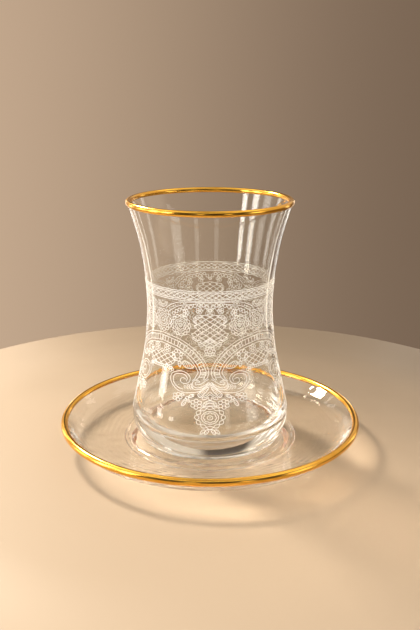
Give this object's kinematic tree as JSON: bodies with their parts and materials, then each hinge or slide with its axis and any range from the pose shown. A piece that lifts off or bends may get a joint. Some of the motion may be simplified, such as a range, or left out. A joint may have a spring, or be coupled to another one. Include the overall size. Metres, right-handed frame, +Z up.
{
  "type": "turkish tea glass with saucer",
  "caption": "Waisted clear tea glass with a thick base, a flared gilded lip and white lace ornament, standing in a shallow clear saucer with a gilded rim.",
  "frame": {"origin": "middle of the saucer's underside, on the surface that it stands on", "axes": "+Z up along the axis of the glass and the saucer, -Y towards the front of the ornament"},
  "size_m": [0.1164, 0.1164, 0.0958],
  "materials": {
    "clear_glass": "clear, colourless, fire-polished soda-lime glass",
    "gold": "bright gilding fired onto a rounded rim",
    "white_enamel": "thin white enamel lines, slightly raised, satin"
  },
  "bodies": {
    "root": {"glass": "clear_glass", "glass_gold_rim": "gold", "saucer": "clear_glass", "saucer_gold_rim": "gold"}
  },
  "joints": []
}
